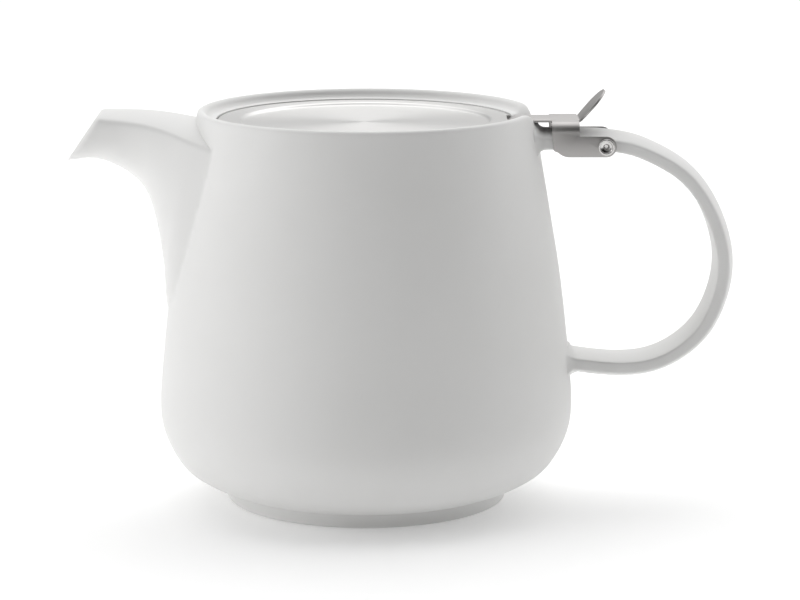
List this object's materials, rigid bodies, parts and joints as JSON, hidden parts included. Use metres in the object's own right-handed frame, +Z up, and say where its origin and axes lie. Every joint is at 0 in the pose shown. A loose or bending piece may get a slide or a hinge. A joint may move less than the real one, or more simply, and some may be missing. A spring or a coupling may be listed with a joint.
{
  "type": "teapot with infuser",
  "caption": "Matte porcelain teapot with a broad beak spout, strap handle, hinged steel lid with thumb tab, and a perforated steel infuser hanging inside.",
  "frame": {"origin": "bottom centre of the whole object's box, on the table; the pot's turning axis is the vertical line at x = -0.01235", "axes": "+X towards the handle, so the spout points to -X; +Z up; the object is mirror-symmetric across y = 0"},
  "size_m": [0.2341, 0.146, 0.1453],
  "materials": {
    "porcelain": "matte white, unglazed feel",
    "hinge_steel": "satin",
    "rivet_steel": "polished",
    "lid_steel": "fine concentric brushing",
    "infuser_steel": "fine satin"
  },
  "bodies": {
    "pot": {"pot_body": "porcelain", "spout": "porcelain", "handle": "porcelain", "handle_clip": "hinge_steel", "hinge_pin": "rivet_steel"},
    "lid": {"lid_lever": "hinge_steel", "lid_disc": "lid_steel"},
    "infuser": {"infuser_rim": "infuser_steel", "infuser_wall": "infuser_steel", "infuser_floor": "infuser_steel", "infuser_band": "infuser_steel"}
  },
  "joints": [
    {"name": "lid_hinge", "type": "hinge", "parent": "pot", "child": "lid", "pos_m": [0.07115, 0, 0.1268], "axis": [0, 1, 0], "range_deg": [0, 80]},
    {"name": "infuser_turn", "type": "hinge", "parent": "pot", "child": "infuser", "pos_m": [-0.01235, 0, 0.1315], "axis": [0, 0, 1], "continuous": true}
  ]
}
